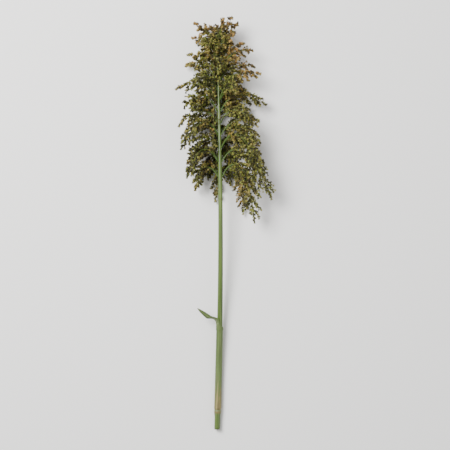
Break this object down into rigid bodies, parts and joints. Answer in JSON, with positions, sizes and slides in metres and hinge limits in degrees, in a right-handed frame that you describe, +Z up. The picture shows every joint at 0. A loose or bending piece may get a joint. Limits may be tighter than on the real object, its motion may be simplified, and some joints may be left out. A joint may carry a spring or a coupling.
{
  "type": "sorghum seed head",
  "caption": "Cut sorghum stem lying down, with a loose, drooping seed head of olive and brown spikelets and one leaf trimmed short.",
  "frame": {"origin": "on the surface that it lies on, under the middle of its outline", "axes": "+Y along the stem towards the tip of the seed head, +Z up from the surface, +X to the right seen from above with the head away from the viewer"},
  "size_m": [0.166, 0.7106, 0.0761],
  "materials": {
    "stem_green": "satin",
    "husk_olive": "satin",
    "leaf_green": "satin"
  },
  "bodies": {
    "root": {"culm": "stem_green", "leaf": "leaf_green", "spray_01_1": "husk_olive", "spray_01_2": "husk_olive", "spray_01_3": "husk_olive", "spray_01_4": "husk_olive", "spray_01_5": "husk_olive", "spray_02_1": "husk_olive", "spray_02_2": "husk_olive", "spray_02_3": "husk_olive", "spray_02_4": "husk_olive", "spray_02_5": "husk_olive", "spray_03_1": "husk_olive", "spray_03_2": "husk_olive", "spray_03_3": "husk_olive", "spray_03_4": "husk_olive", "spray_03_5": "husk_olive", "spray_04_1": "husk_olive", "spray_04_2": "husk_olive", "spray_04_3": "husk_olive", "spray_04_4": "husk_olive", "spray_04_5": "husk_olive", "spray_05_1": "husk_olive", "spray_05_2": "husk_olive", "spray_05_3": "husk_olive", "spray_05_4": "husk_olive", "spray_06_1": "husk_olive", "spray_06_2": "husk_olive", "spray_06_3": "husk_olive", "spray_06_4": "husk_olive", "spray_07_1": "husk_olive", "spray_07_2": "husk_olive", "spray_07_3": "husk_olive", "spray_07_4": "husk_olive", "spray_08_1": "husk_olive", "spray_08_2": "husk_olive", "spray_08_3": "husk_olive", "spray_08_4": "husk_olive", "spray_09_1": "husk_olive", "spray_09_2": "husk_olive", "spray_09_3": "husk_olive", "spray_09_4": "husk_olive", "spray_10_1": "husk_olive", "spray_10_2": "husk_olive", "spray_10_3": "husk_olive", "spray_11_1": "husk_olive", "spray_11_2": "husk_olive", "spray_11_3": "husk_olive", "spray_12_1": "husk_olive", "spray_12_2": "husk_olive", "spray_12_3": "husk_olive", "spray_13_1": "husk_olive", "spray_13_2": "husk_olive", "spray_13_3": "husk_olive", "spray_14_1": "husk_olive", "spray_14_2": "husk_olive", "spray_tip": "husk_olive"}
  },
  "joints": []
}
